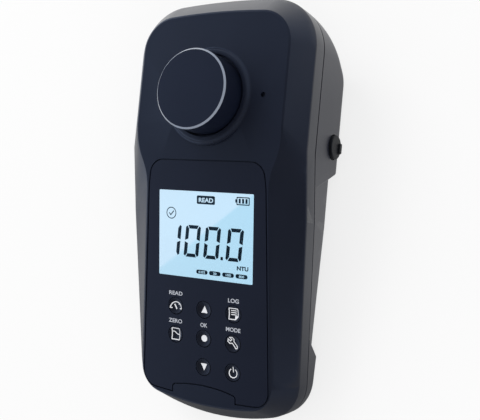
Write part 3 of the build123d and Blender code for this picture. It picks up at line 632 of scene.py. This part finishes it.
def wrench_loops():
    """The outline of an open-ended spanner lying on the diagonal."""
    jaw = [(-0.5, 3.0), (-1.45, 2.3), (-1.45, 1.1), (-0.6, 0.5), (-0.6, -2.3), (0, -2.8), (0.6, -2.3)]
    jaw += [(0.6, 0.5), (1.45, 1.1), (1.45, 2.3), (0.5, 3.0), (0.5, 1.7), (-0.5, 1.7)]
    diagonal = math.sqrt(0.5)
    turned = [((x - u) * diagonal, (x + u) * diagonal) for x, u in jaw]
    return outline(turned, ICON_LINE)


def power_loops():
    """The usual open ring with a bar."""
    open_ring = stroke(ring(0, -0.35, 1.95, 120, 420, 40), ICON_LINE)
    return [open_ring, stroke([(0, 0.0), (0, 2.5)], ICON_LINE)]


key_print("key_measure", gauge_loops())
key_print("key_up", [[(-1.6, -1.5), (1.6, -1.5), (0, 1.7)]])
key_print("key_log", page_loops())
key_print("key_calibrate", vial_loops())
key_print("key_enter", [ring(0, 0, 1.5)])
key_print("key_setup", wrench_loops())
key_print("key_down", [[(-1.6, 1.5), (0, -1.7), (1.6, 1.5)]])
key_print("key_power", power_loops())

# Display: seven-segment reading, unit, state badge, battery, ready mark and range pills


def lcd_print(name, loops):
    """Dark switched shape on the display glass."""
    print_on(name, loops, lcd_ink, BODY, LCD_INK_LEVEL)


# Ends, width, places and slant of the digits, and the shape of a digit's bars, in millimetres
DIGIT_TOP_U = -44.2
DIGIT_LOW_U = -58.4
DIGIT_WIDTH = 7.8
DIGIT_LEFTS = (-11.3, -1.0, 10.35)
DIGIT_SLANT = 0.1
SEGMENT = 1.75
SEGMENT_GAP = 0.15
BAR_SHARE = 0.9
BAR_INSET = 1.2
CORNER_DROP = 0.9
CORNER_CUT = (0.8, 0.3)
TIP_GAP = 0.1
TIP_LENGTH = 0.75
ONE_GAP = 2.35
POINT_X = 8.6
POINT_SIZE = (1.25, 1.5)
SEGMENTS_OF_ZERO = ("top", "upper_left", "upper_right", "lower_left", "lower_right", "low")


def segment_loops(left, which):
    """The bars of one seven-segment digit that starts at a place across the glass."""
    x0, x1 = left, left + DIGIT_WIDTH
    top, low = DIGIT_TOP_U, DIGIT_LOW_U
    middle = (top + low) / 2
    gap = SEGMENT_GAP
    t = SEGMENT
    bar = t * BAR_SHARE
    point = gap + TIP_GAP
    inner = point + TIP_LENGTH
    cut_x, cut_u = CORNER_CUT
    long_top = [(x0 + BAR_INSET, top), (x1 - BAR_INSET, top)]
    long_low = [(x1 - BAR_INSET, low), (x0 + BAR_INSET, low)]
    bars = {
        "top": long_top + [(x1 - t - gap, top - bar), (x0 + t + gap, top - bar)],
        "low": [(x0 + t + gap, low + bar), (x1 - t - gap, low + bar)] + long_low,
    }
    for side, edge, way in (("left", x0, 1), ("right", x1, -1)):
        for half, end, down in (("upper", top, -1), ("lower", low, 1)):
            bars[half + "_" + side] = [
                (edge, end + down * CORNER_DROP),
                (edge + way * cut_x, end + down * cut_u),
                (edge + way * t, end + down * t),
                (edge + way * t, middle - down * inner),
                (edge, middle - down * point),
            ]
    return [[(x + (u - low) * DIGIT_SLANT, u) for x, u in bars[key]] for key in which]


digits = segment_loops(DIGIT_LEFTS[0] - DIGIT_WIDTH - ONE_GAP, ("upper_right", "lower_right"))
for left in DIGIT_LEFTS:
    digits += segment_loops(left, SEGMENTS_OF_ZERO)
digits.append(pill(POINT_X, DIGIT_LOW_U + POINT_SIZE[1] / 2, *POINT_SIZE, 0.3))
lcd_print("display_digits", digits)
UNIT = (19.0, -61.0)
lettering("display_unit", "NTU", *UNIT, 1.75, lcd_ink, LCD_INK_LEVEL, 5.7, 0.06)

BADGE = (0.2, -32.85)
lcd_print("display_badge", [pill(*BADGE, 9.3, 3.7, 0.6)])
lettering("display_badge_word", "READ", *BADGE, 1.9, lcd_glass, LCD_NUMBER_LEVEL, 7.4, 0.04)

# Battery sign: a case with three bars in it and a contact on its left
CELL = (18.8, -32.4)
CELL_PITCH = 1.65
cell_loops = [pill(*CELL, 6.4, 3.5, 0.4), pill(*CELL, 5.5, 2.6, 0.2)]
cell_loops += [pill(CELL[0] - CELL_PITCH + i * CELL_PITCH, CELL[1], 1.0, 2.0, 0.1) for i in range(3)]
cell_loops.append(pill(CELL[0] - 3.5, CELL[1], 0.6, 1.5, 0.2))
lcd_print("display_battery", cell_loops)

# Ready mark: a ring with a tick
MARK = (-17.95, -39.4)
TICK = ((-1.2, 0.1), (-0.3, -0.9), (1.3, 1.0))
tick = stroke([(MARK[0] + x, MARK[1] + u) for x, u in TICK], 0.45)
lcd_print("display_ready_mark", [ring(*MARK, 2.65), ring(*MARK, 2.25), tick])

# Ranges: a number in each of a row of round-ended pills
RANGES = ("0.02", "20", "100", "800")
RANGE_START = (-1.5, -64.5)
RANGE_PITCH = 6.68
RANGE_PILL = (5.9, 1.85, 0.9)
NUMBER_HEIGHT = 1.0
NUMBER_PITCH = 0.85
for i, words in enumerate(RANGES):
    spot = (RANGE_START[0] + RANGE_PITCH * i, RANGE_START[1])
    name = words.replace(".", "_")
    width = NUMBER_PITCH * len(words)
    lcd_print("display_range_" + name, [pill(*spot, *RANGE_PILL)])
    lettering(
        "display_range_number_" + name, words, *spot, NUMBER_HEIGHT, lcd_glass, LCD_NUMBER_LEVEL, width
    )

# Floor, light and camera, in metres
FLOOR_REACH = 3.0
FLOOR_SHARE = 0.75
WHITE = (1, 1, 1, 1)


def seen_rays(tree):
    """A tree's Light Path node, and a value that is 1 for what the camera, mirrors and glass see."""
    path = add_node(tree, "ShaderNodeLightPath")
    seen = add_node(
        tree,
        "ShaderNodeMath",
        {0: path.outputs["Is Camera Ray"], 1: path.outputs["Is Glossy Ray"]},
        operation="MAXIMUM",
    )
    seen = add_node(
        tree,
        "ShaderNodeMath",
        {0: seen.outputs[0], 1: path.outputs["Is Transmission Ray"]},
        operation="MAXIMUM",
    )
    return path, seen


floor_mesh = bpy.data.meshes.new("floor")
corners = [(x * FLOOR_REACH, y * FLOOR_REACH, 0) for x, y in ((-1, -1), (1, -1), (1, 1), (-1, 1))]
floor_mesh.from_pydata(corners, [], [(0, 1, 2, 3)])
floor = bpy.data.objects.new("floor", floor_mesh)
bpy.context.scene.collection.objects.link(floor)

# White paper: the camera, mirrors and glass see mostly an even white, and for the rest a dull paper that
# keeps the shadow
pale = bpy.data.materials.new("white paper floor")
pale.use_nodes = True
tree = pale.node_tree
tree.nodes.clear()
diffuse = add_node(tree, "ShaderNodeBsdfDiffuse", inputs={"Color": linear("#ebebeb")})
path, seen = seen_rays(tree)
place = add_node(tree, "ShaderNodeTexCoord")
axes = add_node(tree, "ShaderNodeSeparateXYZ", {"Vector": place.outputs["Object"]})

# As a mirror image the floor is brightest beyond the head and dark at the tail: from and to along Y in
# metres, and the strength at both ends
MIRROR_STEPS = ((-0.115, -0.02, 0.05, 1.0), (0.05, 0.14, 1.0, 1.8))
tail_fade, head_rise = [
    add_node(
        tree,
        "ShaderNodeMapRange",
        {"Value": axes.outputs["Y"]},
        {"From Min": start, "From Max": end, "To Min": low, "To Max": high},
        interpolation_type="SMOOTHSTEP",
    )
    for start, end, low, high in MIRROR_STEPS
]
mirrored = add_node(
    tree,
    "ShaderNodeMath",
    {0: tail_fade.outputs["Result"], 1: head_rise.outputs["Result"]},
    operation="MULTIPLY",
)
strength = add_node(
    tree, "ShaderNodeMix", {0: path.outputs["Is Glossy Ray"], 3: mirrored.outputs[0]}, {2: 1.0}
)
bright = add_node(tree, "ShaderNodeEmission", {"Strength": strength.outputs[0]}, {"Color": WHITE})
share = add_node(tree, "ShaderNodeMath", {0: seen.outputs[0]}, {1: FLOOR_SHARE}, operation="MULTIPLY")
mixed = add_node(
    tree, "ShaderNodeMixShader", {0: share.outputs[0], 1: diffuse.outputs[0], 2: bright.outputs[0]}
)
add_node(tree, "ShaderNodeOutputMaterial", {"Surface": mixed.outputs[0]})
floor_mesh.materials.append(pale)

# What the plastic mirrors: dim blue overhead, lighter low down, beyond the head and low on the left. Each
# term is an axis, where it starts, where it is full, and its strength there.
SKY_TERMS = (("Z", 0.55, 0.0, 0.5), ("Y", 0.0, 0.5, 0.3), ("X", -0.5, -0.8, 0.9))
SKY_LEAST = 0.05
SKY_TINT = (0.62, 0.8, 1.2, 1)
FILL_STRENGTH = 0.75
world = bpy.data.worlds.new("studio")
bpy.context.scene.world = world
world.use_nodes = True
tree = world.node_tree
tree.nodes.clear()
place = add_node(tree, "ShaderNodeTexCoord")
axes = add_node(tree, "ShaderNodeSeparateXYZ", {"Vector": place.outputs["Generated"]})
glow = None
for axis, start, end, most in SKY_TERMS:
    term = add_node(
        tree,
        "ShaderNodeMapRange",
        {"Value": axes.outputs[axis]},
        {"From Min": start, "From Max": end, "To Min": 0.0, "To Max": most},
        interpolation_type="SMOOTHSTEP",
    )
    added = {0: term.outputs["Result"]}
    if glow is not None:
        added[1] = glow.outputs[0]
    glow = add_node(tree, "ShaderNodeMath", added, {1: SKY_LEAST}, operation="ADD")
sky = add_node(tree, "ShaderNodeBackground", {"Strength": glow.outputs[0]}, {"Color": SKY_TINT})
fill = add_node(tree, "ShaderNodeBackground", inputs={"Color": WHITE, "Strength": FILL_STRENGTH})
path, seen = seen_rays(tree)
mixed = add_node(tree, "ShaderNodeMixShader", {0: seen.outputs[0], 1: fill.outputs[0], 2: sky.outputs[0]})
add_node(tree, "ShaderNodeOutputWorld", {"Surface": mixed.outputs[0]})

LAMP_AIM = (0, 0, 0.03)
LAMP_SIZE = 0.8


def soft_lamp(name, spot, power):
    """A square area lamp that looks at the meter and isn't mirrored in it."""
    data = bpy.data.lights.new(name, "AREA")
    data.size = LAMP_SIZE
    data.energy = power
    lamp = bpy.data.objects.new(name, data)
    lamp.location = spot
    lamp.rotation_euler = (Vector(LAMP_AIM) - Vector(spot)).to_track_quat("-Z", "Y").to_euler()
    lamp.visible_glossy = False
    bpy.context.scene.collection.objects.link(lamp)


soft_lamp("lamp_left_head", (-0.7, 0.9, 0.9), 9.0)
soft_lamp("lamp_right_tail", (0.9, -0.8, 0.8), 4.0)

# Camera found from the photograph's perspective, in millimetres, metres and degrees
LENS = 55.86
SENSOR_WIDTH = 36.0
CAMERA_SPOT = (0.1745, -0.01365, 0.3118)
CAMERA_TURN = (5.648, 29.721, 6.172)
camera_data = bpy.data.cameras.new("camera")
camera_data.lens = LENS
camera_data.sensor_width = SENSOR_WIDTH
camera_data.dof.use_dof = False
camera = bpy.data.objects.new("camera", camera_data)
camera.location = CAMERA_SPOT
camera.rotation_euler = [math.radians(a) for a in CAMERA_TURN]
bpy.context.scene.collection.objects.link(camera)
bpy.context.scene.camera = camera
bpy.context.scene.view_settings.view_transform = "Standard"
